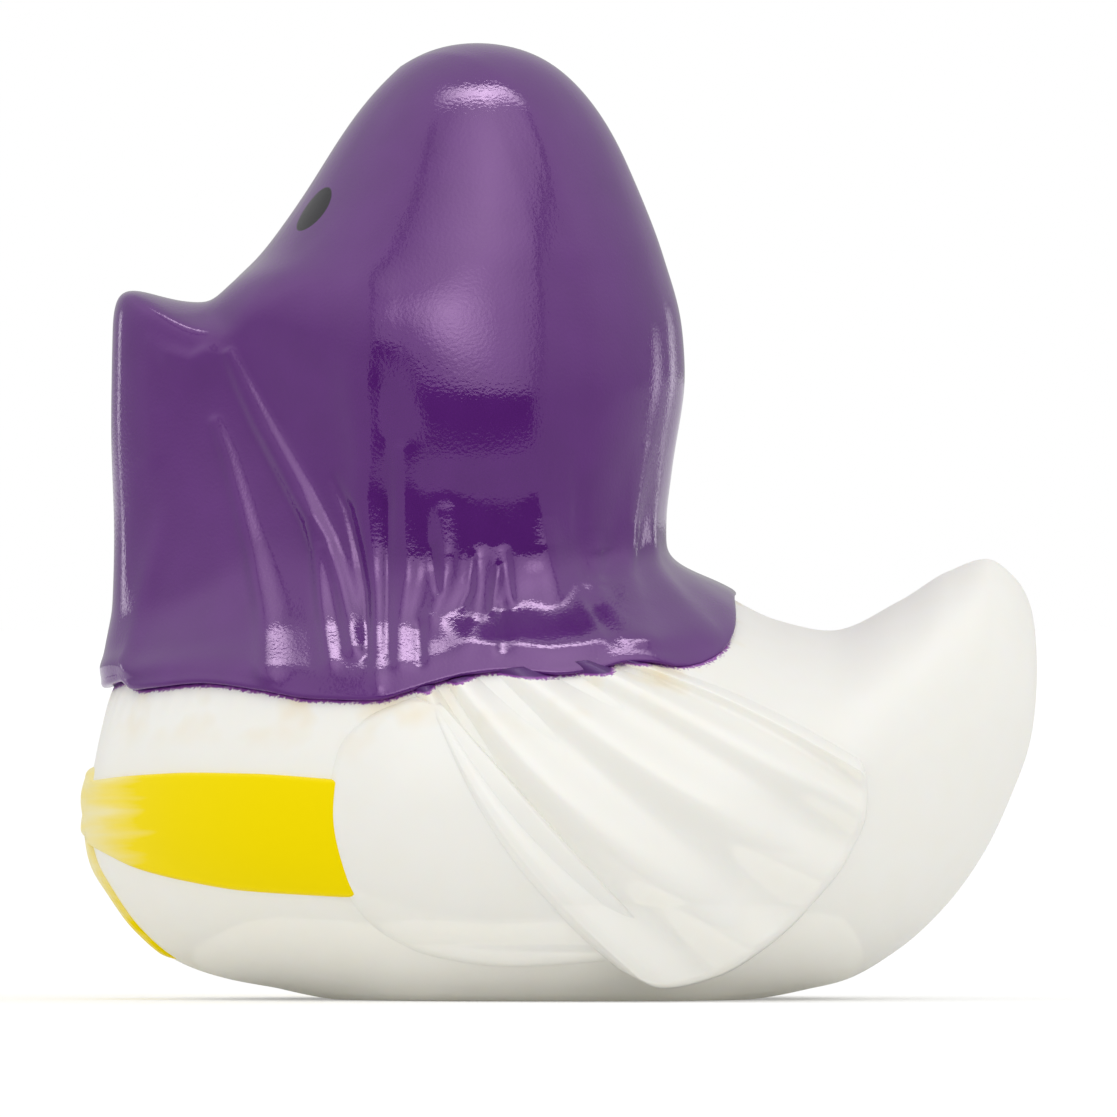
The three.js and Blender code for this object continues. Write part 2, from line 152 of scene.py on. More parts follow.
def bodySection(station, offset=0.0):
    percent = station * 100
    grow = offset * np.minimum(1, 3 * np.sin(np.pi * station))
    x = body["chestX"] - offset + (body["length"] + 2 * offset) * (1 - np.cos(np.pi * station)) / 2
    top = bodyTop(percent) * body["height"] / 100 + grow
    bottom = bodyBottom(percent) * body["height"] / 100 - grow
    widest = widestLevel(percent) * body["height"] / 100
    half = bodyHalf(percent) * body["width"] / 200 + grow
    return x, top, bottom, widest, half, upperPower(percent), lowerPower(percent)


def stationAt(x, offset=0.0):
    share = (x - body["chestX"] + offset) / (body["length"] + 2 * offset)
    return np.arccos(1 - 2 * np.clip(share, 0, 1)) / np.pi


def flank(x, z, offset=0.0):  # half the body's width at a place of the side view
    _, top, bottom, widest, half, upper, lower = bodySection(stationAt(x, offset), offset)
    above = z > widest
    room = np.where(above, top - widest, widest - bottom)
    share = np.where(above, z - widest, widest - z) / np.maximum(room, 1e-6)
    power = np.where(above, upper, lower)
    full = half * (1 - np.clip(share, 0, 1) ** power) ** (1 / power)
    return np.where(share < 1, full, 0)


def bodyX(along):
    return body["chestX"] + along * body["length"] / 100


def bodyZ(up):
    return up * body["height"] / 100


# hood outline
hood = {
    "crown": 85.0, "hem": 28.0, "length": 54.7, "frontX": -39.75, "headWidth": 45.0, "beakWidth": 25.0,
    "columns": 460, "rows": 206, "lipRows": 7, "tuckRows": 2,
    "flankCrowding": 4.0, "flankFrom": (40, 70),               # the columns crowd between these azimuths
    "flankTo": (164, 180), "rearThinning": 0.7,                # and thin out again at the rear
    "rayLift": 8.0, "rayAlong": 47.0,                          # start of the rays that find the surface
    "rayLength": 80.0, "halvings": 19,
    "foldSide": (0.15, 0.5),                                   # sideways shares between which folds set in
    "beakBlend": 1.2, "cheekBlend": 9.0, "cheekStart": 0.4, "shoulderBlend": 3.0, "softening": 14,
    "cloth": 0.75, "lip": 0.9, "lipDistance": 32,              # thickness on the shoulders and at the edge
    "roll": 0.3, "rollWidth": 0.8, "rollPlace": 1.2,           # thick hem: height, width, way from the edge
    "rollTurn": (15, 45),                                      # azimuths between which it sets in
    "markTo": 103,                                             # paint and stains end here, along the hood
    "skirtFrom": 29.3, "skirtSlope": 0.98, "skirtBack": 0.38,  # skirt that spreads from the wall to the hem
    "skirtBackX": (-12, 8), "skirtSide": (0.45, 0.8),          # where it grows steeper, where it sets in
}


def hoodUp(z):
    return 100 * (z - hood["hem"]) / (hood["crown"] - hood["hem"])


def hoodAlong(x):
    return 100 * (x - hood["frontX"]) / hood["length"]


def hoodX(along):
    return hood["frontX"] + along * hood["length"] / 100


headBack = curve((0, 59.4), (14, 69.4), (24, 74.9), (36, 80.7), (47, 85.3), (58, 89.9), (67, 92.9),
                 (72, 93.3), (82, 91.1), (87, 90.2), (100, 90.2))
headFront = curve((0, 59.4), (14, 50), (24, 44.7), (36, 38.6), (47, 32.7), (53, 28.4), (58, 24),
                  (62, 19), (66, 17.5), (72, 20), (80, 23), (90, 24), (100, 21))
headHalf = curve((0, 0), (14, 25), (24, 41), (31, 51), (36, 58), (45, 70), (53, 81), (58, 88),
                 (65, 95.5), (71, 99), (75, 100), (80, 98.5), (85, 95), (90, 94), (100, 95))
drapeFront = curve((0, 0.5), (3, -0.2), (5, -0.8), (8, -0.5), (12, 0.2), (23, 0.5), (40, 0), (57, 0.3),
                   (60, 0.9))
drapeHalf = curve((0, 152), (10, 132), (25, 114), (40, 103), (55, 100), (62, 94))
beakTop = curve((0.3, 58.8), (1.1, 60.4), (3.1, 61.6), (5, 61.3), (8.9, 60.2), (12.8, 59.5), (16, 59.4),
                (25, 60), (40, 61))
beakShape = {"root": 38.0, "back": 30.0, "power": 2.2, "round": 8.0, "arch": 2.5}


def insideHead(x, y, z):
    up = hoodUp(z)
    fall = 100 * np.sqrt(np.clip(1 - np.maximum(up, 0) / 100, 0, None))
    front, back = hoodX(headFront(fall)), hoodX(headBack(fall))
    half = np.maximum(headHalf(fall) * hood["headWidth"] / 200, 1e-6)
    depth = np.maximum(back - front, 1e-6)
    return (up < 100) & (((2 * x - front - back) / depth) ** 2 + (y / half) ** 2 < 1)


def insideDrape(x, y, z):
    up, along = hoodUp(z), hoodAlong(x)
    half = drapeHalf(up) * hood["beakWidth"] / 200
    across = np.abs(y) / half
    under = up <= beakTop(along) - beakShape["round"] * across ** beakShape["arch"]
    depth = np.where(along < beakShape["root"], beakShape["root"] - drapeFront(up), beakShape["back"])
    ahead = np.abs((along - beakShape["root"]) / depth)
    return under & (ahead ** beakShape["power"] + across ** beakShape["power"] < 1)


rayOrigin = np.array([hoodX(hood["rayAlong"]), 0, hood["hem"] + hood["rayLift"]])


def reach(inside, direction):
    near, far = np.zeros(direction.shape[:-1]), np.full(direction.shape[:-1], hood["rayLength"])
    for _ in range(hood["halvings"]):
        middle = (near + far) / 2
        p = rayOrigin + direction * middle[..., None]
        hit = inside(p[..., 0], p[..., 1], p[..., 2])
        near, far = np.where(hit, middle, near), np.where(hit, far, middle)
    return near


def rayDirection(azimuth, elevation):
    level = np.cos(elevation)
    return np.stack([level * np.cos(azimuth), -level * np.sin(azimuth), np.sin(elevation)], -1)


hemDip = curve((0, -1.3), (12, -0.7), (20, 1.0), (28, 3.7), (34, 5.9), (39, 7.5), (43, 8.5), (46, 8.8),
               (49.5, 8.5), (53, 8.7), (58, 10), (65, 11.2), (70.5, 11.3), (78, 12.4), (84, 14),
               (89, 15.5), (93.5, 16.7), (98, 17), (107, 17.2), (117, 16.3), (132, 15.4), (145, 16),
               (153, 16.4), (160, 15.2), (170, 15.8), (180, 16.4))
rowElevation = curve((0, 90), (0.22, 62), (0.5, 43), (1, 0))

# folds in the side view: crest as a path of (along, up), width in millimetres at its start and end,
# steepness (below zero for a dent), and the share of it that the start has
folds = [
    (((3.6, 53), (4.8, 48), (6.3, 42), (6.4, 36)), 1.2, 1.2, 0.3, 0.2),
    (((8, 25.5), (6.3, 17.6), (3.9, 8.3), (2.8, 2.8)), 1.0, 1.0, 0.4, 0.2),
    (((7.1, 52.8), (9.6, 51), (13.6, 49.6), (16.2, 50.6)), 0.9, 1.2, 0.95, 0.5),
    (((17.2, 40.5), (19.2, 35.5), (21.6, 27.5), (23.8, 19.5), (25.4, 12), (26, 2)), 0.6, 1.2, 0.62, 0.9),
    (((19.2, 50.5), (21.2, 46), (24.2, 40), (29, 31.5), (32.4, 25.4), (33.9, 20.7), (34.8, 12), (36, 4)),
     0.5, 0.8, 0.9, 0.9),
    (((19.8, 51.2), (23.2, 44.8), (26.6, 38.6), (31.6, 30), (35.4, 22.3), (37.4, 16), (38.8, 10.5),
      (39.6, 6)), 0.5, 0.8, 0.9, 0.9),
    (((36.4, 32), (38.8, 27), (40.4, 20.7), (41.6, 14.4), (41.9, 4.4)), 0.45, 0.45, -1.0, 0.4),
    (((42, 59.5), (40.8, 54), (40, 49), (40.2, 44), (41, 38), (41.3, 28.5), (42.4, 20.7), (43.1, 13),
      (43.5, 0)), 2.4, 0.7, 0.45, 0.3),
    (((45.2, 38), (45.3, 28), (45.1, 19.2), (45.1, 5)), 0.5, 0.35, -0.6, 0.3),
    (((47.2, 35.5), (47.7, 28.5), (48.1, 20.7), (48.1, 17), (47.6, 13), (47.1, 9), (46.9, 3.6)),
     1.2, 0.65, 0.5, 0.5),
    (((52.3, 21), (53.1, 14.5)), 0.32, 0.32, -0.8, 0.6),
    (((54.4, 26.2), (54.5, 21.5), (54.4, 17.6), (53.4, 14.2), (52.3, 11)), 1.3, 0.9, 0.5, 0.4),
    (((58.8, 20), (58.3, 14.5), (57, 12)), 0.32, 0.32, -0.7, 0.6),
    (((60.1, 19.2), (59.9, 15.3), (59.3, 11.4), (58.9, 9.5)), 0.95, 0.8, 0.5, 0.5),
    (((63.1, 18.4), (62, 11.4)), 0.32, 0.32, -0.7, 0.6),
    (((63.8, 20.3), (64.3, 16), (64.8, 13)), 0.55, 0.45, 0.6, 0.5),
    (((70.4, 26.2), (70.6, 21.5), (71, 17.6), (71.4, 14.2)), 1.6, 1.4, 0.42, 0.4),
    (((50.3, 8.8), (50.3, 3.6)), 0.5, 0.5, -0.8, 1),
    (((52, 9), (55, 8.8), (57, 7.4)), 1.2, 1.2, 0.28, 1),
    (((58.6, 7.4), (62, 6.4)), 0.9, 0.9, 0.3, 1),
    (((63.8, 12), (63.6, 6)), 0.6, 0.6, -0.7, 1),
    (((67, 7.2), (71, 6.4), (77, 7.4)), 1.3, 1.3, 0.25, 1),
    (((75.6, 35), (75.9, 28), (76.5, 20.7), (77.6, 14.4), (79.8, 9.4), (82, 6.4)), 0.35, 0.4, -0.9, 0.3),
    (((77.9, 23.9), (78.1, 19.2), (78.4, 16)), 1.0, 0.8, 0.45, 0.4),
    (((79.4, 20), (79.6, 15.4)), 0.3, 0.3, -0.7, 1),
    (((79, 12), (81.4, 8.6)), 0.6, 0.6, -0.5, 1),
    (((86.6, 36), (84.2, 25.5), (83.4, 17.6), (84.6, 12.9), (87, 7.5)), 0.7, 0.8, 0.75, 0.3),
    (((90.2, 36), (88, 24), (88.2, 18.4), (92.5, 12.5), (97, 7.5)), 0.7, 0.8, 0.75, 0.3),
    (((91, 21), (95, 16), (99.5, 12.5)), 0.5, 0.6, 0.5, 0.3),
    (((90, 8.8), (94, 7.6)), 1.3, 1.3, 0.25, 1),
]


def foldRise(along, up):
    toX, toZ = hood["length"] / 100, (hood["crown"] - hood["hem"]) / 100
    rise = np.zeros_like(along)
    for path, startWidth, endWidth, steepness, start in folds:
        best, share = np.full_like(along, 1e9), np.zeros_like(along)
        for i in range(len(path) - 1):
            ax, az = (path[i + 1][0] - path[i][0]) * toX, (path[i + 1][1] - path[i][1]) * toZ
            bx, bz = (along - path[i][0]) * toX, (up - path[i][1]) * toZ
            t = np.clip((ax * bx + az * bz) / (ax * ax + az * az), 0, 1)
            distance = np.hypot(bx - t * ax, bz - t * az)
            closer = distance < best
            best = np.where(closer, distance, best)
            share = np.where(closer, (i + t) / (len(path) - 1), share)
        width = mix(startWidth, endWidth, share)
        strength = steepness * np.clip(start + 3 * (1 - start) * share, 0, 1)
        rise += strength * width * np.exp(-((best / width) ** 2))
    return rise


def insideSkirt(x, y, z):
    slope = hood["skirtSlope"] + hood["skirtBack"] * smooth(*hood["skirtBackX"], x)
    half = flank(x, np.minimum(z, hood["skirtFrom"]), hood["cloth"])
    return np.abs(y) < half - slope * np.maximum(z - hood["skirtFrom"], 0)


def hoodGrid():
    columns, toHem = hood["columns"], hood["rows"]
    rows = toHem + hood["lipRows"] + hood["tuckRows"]
    fine = np.linspace(-180, 180, 3601)  # the columns crowd on the flanks, where the folds are
    flanks = smooth(*hood["flankFrom"], np.abs(fine))
    flanks = flanks * (1 - hood["rearThinning"] * smooth(*hood["flankTo"], np.abs(fine)))
    crowd = np.cumsum(1 + hood["flankCrowding"] * flanks)
    place = (np.arange(columns) + 0.5) / columns
    turned = np.radians(np.interp(place * (crowd[-1] - crowd[0]) + crowd[0], crowd, fine))
    hemElevation = -np.radians(hemDip(np.degrees(np.abs(turned))))
    row = np.arange(rows + 1)[:, None]
    fromHem = rowElevation(np.minimum(row / toHem, 1)) / 90
    past = np.clip((row - toHem) / hood["lipRows"], 0, 1)  # share of the way round the lip
    lipTurn = hood["lip"] / hood["lipDistance"] * np.sin(past * np.pi / 2)
    elevation = mix(hemElevation[None, :], np.pi / 2, fromHem) - lipTurn
    direction = rayDirection(np.broadcast_to(turned[None, :], elevation.shape), elevation)
    sideways = np.clip(np.abs(direction[..., 1]) / hood["cheekStart"], 0, 1)
    face = blendedMax(reach(insideHead, direction), reach(insideDrape, direction),
                      hood["beakBlend"] + hood["cheekBlend"] * sideways)
    lying = reach(lambda x, y, z: np.abs(y) < flank(x, z, hood["cloth"]), direction)
    spread = reach(insideSkirt, direction)
    aside = np.abs(direction[..., 1]) / np.cos(elevation)  # 1 straight to the side
    cloth = mix(lying, np.maximum(lying, spread), smooth(*hood["skirtSide"], aside))
    skin = reach(lambda x, y, z: np.abs(y) < flank(x, z, -0.4), direction)
    out = soften(blendedMax(face, cloth, hood["shoulderBlend"]), hood["softening"], True)
    point = rayOrigin + direction * out[..., None]
    foldFrom, foldFull = hood["foldSide"]
    lateral = np.clip((np.abs(direction[..., 1]) - foldFrom) / (foldFull - foldFrom), 0, 1)
    out = out + lateral * foldRise(hoodAlong(point[..., 0]), hoodUp(point[..., 2]))
    toEdge = (elevation - hemElevation[None, :]) * out  # distance from the hem's edge along the cloth
    rolled = hood["roll"] * smooth(*hood["rollTurn"], np.degrees(np.abs(turned)))
    out = out + rolled * np.exp(-((toEdge - hood["rollPlace"]) / hood["rollWidth"]) ** 2)
    out = mix(skin, out, np.sqrt(np.clip(1 - past ** 2, 0, 1)))
    point = rayOrigin + direction * out[..., None]
    tuck = np.clip((row - toHem - hood["lipRows"]) / hood["tuckRows"], 0, 1)[..., None]
    return mix(point, np.array([rayOrigin[0], 0, hood["hem"] + 2]), tuck)


# meshes
def shapedGrid(name, steps, place):  # a grid whose points are moved by their two shares across it
    bm = bmesh.new()
    bmesh.ops.create_grid(bm, x_segments=steps[0], y_segments=steps[1], size=0.5)
    mesh = bpy.data.meshes.new(name)
    bm.to_mesh(mesh)
    bm.free()
    co = np.zeros(len(mesh.vertices) * 3)
    mesh.vertices.foreach_get("co", co)
    co = co.reshape(-1, 3) + 0.5
    mesh.vertices.foreach_set("co", (place(co[:, 0], co[:, 1]) / 1000).ravel())
    return mesh


def sphereMesh(name, grid):  # a closed skin whose points take the places of rows round the piece
    rows, columns = grid.shape[0] - 1, grid.shape[1]

    def place(share, down):
        row, column = np.rint(down * rows).astype(int), np.rint(share * columns).astype(int) % columns
        return grid[row, np.where((row == 0) | (row == rows), 0, column)]

    mesh = shapedGrid(name, (columns, rows), place)
    bm = bmesh.new()
    bm.from_mesh(mesh)
    seam = [v for v in bm.verts if v.is_boundary]
    bmesh.ops.remove_doubles(bm, verts=seam, dist=1e-7)
    bm.to_mesh(mesh)
    bm.free()
    return mesh


def plateMesh(name, steps, place):  # a sheet laid on the body, closed underneath
    mesh = shapedGrid(name, steps, place)
    bm = bmesh.new()
    bm.from_mesh(mesh)
    bmesh.ops.holes_fill(bm, edges=[e for e in bm.edges if e.is_boundary], sides=0)
    bm.to_mesh(mesh)
    bm.free()
    return mesh


def makePiece(name, mesh, material):
    bm = bmesh.new()
    bm.from_mesh(mesh)
    bmesh.ops.recalc_face_normals(bm, faces=bm.faces)
    bm.to_mesh(mesh)
    bm.free()
    mesh.shade_smooth()
    mesh.materials.append(material)
    piece = bpy.data.objects.new(name, mesh)
    bpy.context.scene.collection.objects.link(piece)
    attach(piece, "root")
    print("made", name, len(mesh.polygons), "faces")
    return piece


def meshPoints(mesh):
    co = np.zeros(len(mesh.vertices) * 3)
    mesh.vertices.foreach_get("co", co)
    return co.reshape(-1, 3) * 1000


marks = {"hoodSpray": 0.5, "hemStain": 5.0}  # how far each goes down from the hem, in millimetres


def markSpray(mesh):  # where the vinyl below the hem has drifted paint, and where it is stained
    p = meshPoints(mesh) - rayOrigin
    azimuth = np.degrees(np.abs(np.arctan2(-p[:, 1], p[:, 0])))
    level = np.hypot(p[:, 0], p[:, 1])
    below = -np.degrees(np.arctan2(p[:, 2], level)) - hemDip(azimuth)
    drop = np.radians(below) * np.linalg.norm(p, axis=1) - hood["lip"]
    near = (drop > -6) & (p[:, 0] + rayOrigin[0] < hoodX(hood["markTo"]))
    for name, reachDown in marks.items():
        layer = mesh.attributes.new(name, "FLOAT", "POINT")
        share = np.where(near, np.clip(1 - drop / reachDown, 0, 1), 0)
        layer.data.foreach_set("value", share.astype(np.float32))


def bodyGrid():
    rows, columns = body["rows"], body["columns"]
    station = np.broadcast_to(np.arange(rows + 1)[:, None] / rows, (rows + 1, columns))
    angle = np.broadcast_to(np.arange(columns)[None, :] / columns * 2 * np.pi, station.shape)
    x, top, bottom, widest, half, upper, lower = bodySection(station)
    power = np.where(np.sin(angle) > 0, upper, lower)
    lift = squircle(np.sin(angle), power)
    z = widest + np.where(lift > 0, top - widest, widest - bottom) * lift
    z = blendedMax(z, np.zeros_like(z), body["baseSoftness"])
    z = z - body["baseSoftness"] / 4 * np.clip(1 - z / body["baseSoftness"], 0, 1)
    y = half * squircle(np.cos(angle), power)
    around = np.abs(np.arctan2(-y, x - rayOrigin[0]))  # gathers where the cloth presses on the chest
    under = hood["hem"] - body["gatherDrop"] - z
    fade = np.exp(-((under / body["gatherReach"]) ** 2)) * smooth(*body["gatherTurn"], around)
    ripple = np.cos(around * body["gathers"]) * fade
    x, y = x - body["gatherDepth"] * ripple, y * (1 + body["gatherDepth"] * ripple / body["width"] * 2)
    return np.stack([x, y, np.maximum(z, 0)], -1)


def pierceVent(mesh):  # the small round hole in the middle of the base
    bm = bmesh.new()
    bm.from_mesh(mesh)
    radius, depth = body["ventRadius"] / 1000, body["ventDepth"] / 1000
    room = radius * body["ventRoom"]
    middles = [(face, face.calc_center_median()) for face in bm.faces]
    cut = [face for face, middle in middles if middle.z < 1e-5 and middle.xy.length < room]
    bmesh.ops.delete(bm, geom=cut, context="FACES")
    rim = [e for e in bm.edges if e.is_boundary]
    circle = bmesh.ops.create_circle(bm, cap_ends=False, radius=radius, segments=48)
    ring = list({e for v in circle["verts"] for e in v.link_edges})
    bmesh.ops.bridge_loops(bm, edges=rim + ring)
    wall = bmesh.ops.extrude_edge_only(bm, edges=ring)["geom"]
    bottom = [v for v in wall if isinstance(v, bmesh.types.BMVert)]
    bmesh.ops.translate(bm, verts=bottom, vec=(0, 0, depth))
    bmesh.ops.holes_fill(bm, edges=[e for e in bm.edges if e.is_boundary], sides=0)
    bm.to_mesh(mesh)
    bm.free()


def onFlank(x, z, side, relief, hangFrom=0.0, hangShare=0.5):
    level = z + hangShare * np.maximum(hangFrom - z, 0)
    return np.stack([x, side * (flank(x, level) + relief), z], -1)


def roundedEdge(distance, radius):  # 0 at the edge, 1 a radius inside it, with a round shoulder
    t = 1 - np.clip(distance / radius, 0, 1)
    return np.sqrt(np.clip(1 - t * t, 0, 1))


def acrossChest(turn, end, up, relief):
    z = bodyZ(up)
    angle = turn * np.pi / 2
    pivot = bodyX(end)
    rayX, rayY = -np.cos(angle), np.sin(angle)
    near, far = np.zeros_like(z), np.full_like(z, body["length"])
    for _ in range(20):
        middle = (near + far) / 2
        x = pivot + rayX * middle
        hit = (x > body["chestX"]) & (np.abs(rayY * middle) < flank(x, z))
        near, far = np.where(hit, middle, near), np.where(hit, far, middle)
    out = near + relief
    return np.stack([pivot + rayX * out, rayY * out, z], -1)


# materials
def newMaterial(name, roughness):
    material = bpy.data.materials.new(name)
    material.use_nodes = True
    nodes, links = material.node_tree.nodes, material.node_tree.links
    shader = nodes["Principled BSDF"]
    shader.inputs["Roughness"].default_value = roughness
    return material, nodes, links, shader


def fromRgb(*screen):  # screen colour to the linear one that a shader takes
    shares = [v / 255 for v in screen]
    return tuple(v / 12.92 if v < 0.0404 else ((v + 0.055) / 1.055) ** 2.4 for v in shares) + (1,)


def buildSkin():  # fine unevenness of a moulded or sprayed surface
    group = bpy.data.node_groups.new("mouldedSkin", "ShaderNodeTree")
    for name, kind, value in (("Vector", "NodeSocketVector", None), ("Scale", "NodeSocketFloat", 2000.0),
                              ("Waviness", "NodeSocketFloat", 0.3)):
        socket = group.interface.new_socket(name, in_out="INPUT", socket_type=kind)
        if value is not None:
            socket.default_value = value
    group.interface.new_socket("Height", in_out="OUTPUT", socket_type="NodeSocketFloat")
    group.interface.new_socket("Mottle", in_out="OUTPUT", socket_type="NodeSocketFloat")
    nodes, links = group.nodes, group.links
    source, result = nodes.new("NodeGroupInput"), nodes.new("NodeGroupOutput")
    fine, broad = nodes.new("ShaderNodeTexNoise"), nodes.new("ShaderNodeTexNoise")
    fine.inputs["Detail"].default_value = 2
    broad.inputs["Scale"].default_value = 260
    broad.inputs["Detail"].default_value = 1
    blend = nodes.new("ShaderNodeMix")
    links.new(source.outputs["Vector"], fine.inputs["Vector"])
    links.new(source.outputs["Vector"], broad.inputs["Vector"])
    links.new(source.outputs["Scale"], fine.inputs["Scale"])
    links.new(source.outputs["Waviness"], blend.inputs["Factor"])
    links.new(fine.outputs["Fac"], blend.inputs["A"])
    links.new(broad.outputs["Fac"], blend.inputs["B"])
    links.new(blend.outputs["Result"], result.inputs["Height"])
    links.new(broad.outputs["Fac"], result.inputs["Mottle"])
    return group


skin = buildSkin()


def addSkin(nodes, links, shader, finish):
    place = nodes.new("ShaderNodeTexCoord")
    texture = nodes.new("ShaderNodeGroup")
    texture.node_tree = skin
    texture.inputs["Scale"].default_value = finish["skinScale"]
    texture.inputs["Waviness"].default_value = finish["skinWaviness"]
    bump = nodes.new("ShaderNodeBump")
    bump.inputs["Strength"].default_value = 1
    bump.inputs["Distance"].default_value = finish["skinDepth"]
    links.new(place.outputs["Object"], texture.inputs["Vector"])
    links.new(texture.outputs["Height"], bump.inputs["Height"])
    links.new(bump.outputs["Normal"], shader.inputs["Normal"])
    return place, texture


def mixColour(nodes, links, factor, first, second):
    blend = nodes.new("ShaderNodeMix")
    blend.data_type = "RGBA"
    for socket, value in ((blend.inputs[0], factor), (blend.inputs[6], first), (blend.inputs[7], second)):
        if isinstance(value, bpy.types.NodeSocket):
            links.new(value, socket)
        else:
            socket.default_value = value
    return blend.outputs[2]


def mathNode(nodes, links, operation, *values):
    node = nodes.new("ShaderNodeMath")
    node.operation = operation
    for socket, value in zip(node.inputs, values):
        if isinstance(value, bpy.types.NodeSocket):
            links.new(value, socket)
        else:
            socket.default_value = value
    return node.outputs[0]


def ramp(nodes, links, value, low, high):  # 0 at low, 1 at high
    node = nodes.new("ShaderNodeMapRange")
    node.inputs["From Min"].default_value = low
    node.inputs["From Max"].default_value = high
    links.new(value, node.inputs["Value"])
    return node.outputs[0]


purple = {
    "deep": fromRgb(80, 29, 106), "pale": fromRgb(90, 36, 118), "thin": fromRgb(150, 78, 168),
    "sheen": (0.95, 0.64, 1, 1), "roughness": 0.06, "gloss": 0.64,
    "skinScale": 3300, "skinWaviness": 0.25, "skinDepth": 0.000024,
    "eye": fromRgb(20, 24, 24), "eyeGloss": 0.2,
    "eyeCentre": (-0.0217, 0.00825, 0.0701), "eyeRadius": 0.00235, "eyeBlur": 0.00006,
}


def buildHoodPaint():
    material, nodes, links, shader = newMaterial("hoodPaint", purple["roughness"])
    shader.inputs["Specular Tint"].default_value = purple["sheen"]
    place, texture = addSkin(nodes, links, shader, purple)
    colour = mixColour(nodes, links, texture.outputs["Mottle"], purple["deep"], purple["pale"])
    split, join = nodes.new("ShaderNodeSeparateXYZ"), nodes.new("ShaderNodeCombineXYZ")
    links.new(place.outputs["Object"], split.inputs[0])
    links.new(split.outputs["X"], join.inputs["X"])
    links.new(split.outputs["Z"], join.inputs["Z"])
    mirrored = mathNode(nodes, links, "ABSOLUTE", split.outputs["Y"])  # both eyes at once
    links.new(mirrored, join.inputs["Y"])
    away = nodes.new("ShaderNodeVectorMath")
    away.operation = "DISTANCE"
    links.new(join.outputs[0], away.inputs[0])
    away.inputs[1].default_value = purple["eyeCentre"]
    edge, blur = purple["eyeRadius"], purple["eyeBlur"]
    iris = ramp(nodes, links, away.outputs["Value"], edge + blur, edge - blur)
    links.new(mixColour(nodes, links, iris, colour, purple["eye"]), shader.inputs["Base Color"])
    gloss = nodes.new("ShaderNodeMix")
    links.new(iris, gloss.inputs["Factor"])
    gloss.inputs["A"].default_value = purple["gloss"]
    gloss.inputs["B"].default_value = purple["eyeGloss"]
    links.new(gloss.outputs["Result"], shader.inputs["Specular IOR Level"])
    return material


vinyl = {
    "colour": fromRgb(249, 248, 243), "warm": fromRgb(248, 246, 237), "roughness": 0.45, "gloss": 0.3,
    "skinScale": 1500, "skinWaviness": 0.3, "skinDepth": 0.000008,
    "softness": 0.15, "softDepth": 0.0008, "softSpread": (1.0, 0.7, 0.4),  # light that spreads inside
    "stain": fromRgb(243, 229, 198), "stainScale": 190, "stainShows": (0.5, 0.75),
    "sprayScale": 3500, "sprayShows": (0.95, 1.2), "sprayCovers": (0.8, 0.98),
}


def buildVinyl():
    material, nodes, links, shader = newMaterial("whiteVinyl", vinyl["roughness"])
    shader.inputs["Specular IOR Level"].default_value = vinyl["gloss"]
    shader.inputs["Subsurface Weight"].default_value = vinyl["softness"]
    shader.inputs["Subsurface Radius"].default_value = vinyl["softSpread"]
    shader.inputs["Subsurface Scale"].default_value = vinyl["softDepth"]
    place, texture = addSkin(nodes, links, shader, vinyl)
    base = mixColour(nodes, links, texture.outputs["Mottle"], vinyl["colour"], vinyl["warm"])
    spray, stain = nodes.new("ShaderNodeAttribute"), nodes.new("ShaderNodeAttribute")
    spray.attribute_name, stain.attribute_name = "hoodSpray", "hemStain"
    grain, blotch = nodes.new("ShaderNodeTexNoise"), nodes.new("ShaderNodeTexNoise")
    for noise, scale in ((grain, vinyl["sprayScale"]), (blotch, vinyl["stainScale"])):
        noise.inputs["Scale"].default_value = scale
        noise.inputs["Detail"].default_value = 2
        links.new(place.outputs["Object"], noise.inputs["Vector"])
    speck = mathNode(nodes, links, "ADD", spray.outputs["Fac"], grain.outputs["Fac"])
    drift = ramp(nodes, links, speck, *vinyl["sprayShows"])
    patches = ramp(nodes, links, blotch.outputs["Fac"], *vinyl["stainShows"])
    soiled = mathNode(nodes, links, "MULTIPLY", stain.outputs["Fac"], patches)
    base = mixColour(nodes, links, soiled, base, vinyl["stain"])
    sprayed = mixColour(nodes, links, drift, base, purple["thin"])
    under = ramp(nodes, links, spray.outputs["Fac"], *vinyl["sprayCovers"])
    links.new(mixColour(nodes, links, under, sprayed, purple["deep"]), shader.inputs["Base Color"])
    return material


yellow = {
    "full": fromRgb(255, 229, 0), "worn": fromRgb(251, 240, 186),
    "sheen": (1, 0.85, 0.1, 1), "roughness": 0.45, "gloss": 0.18,
    "skinScale": 1800, "skinWaviness": 0.3, "skinDepth": 0.000008,
    "fadeFrom": -0.0345, "fadeTo": -0.0425, "streaks": (60, 60, 900),  # the paint thins towards the knot
    "streakShare": 0.9, "wornShows": (0.75, 1.5),
}


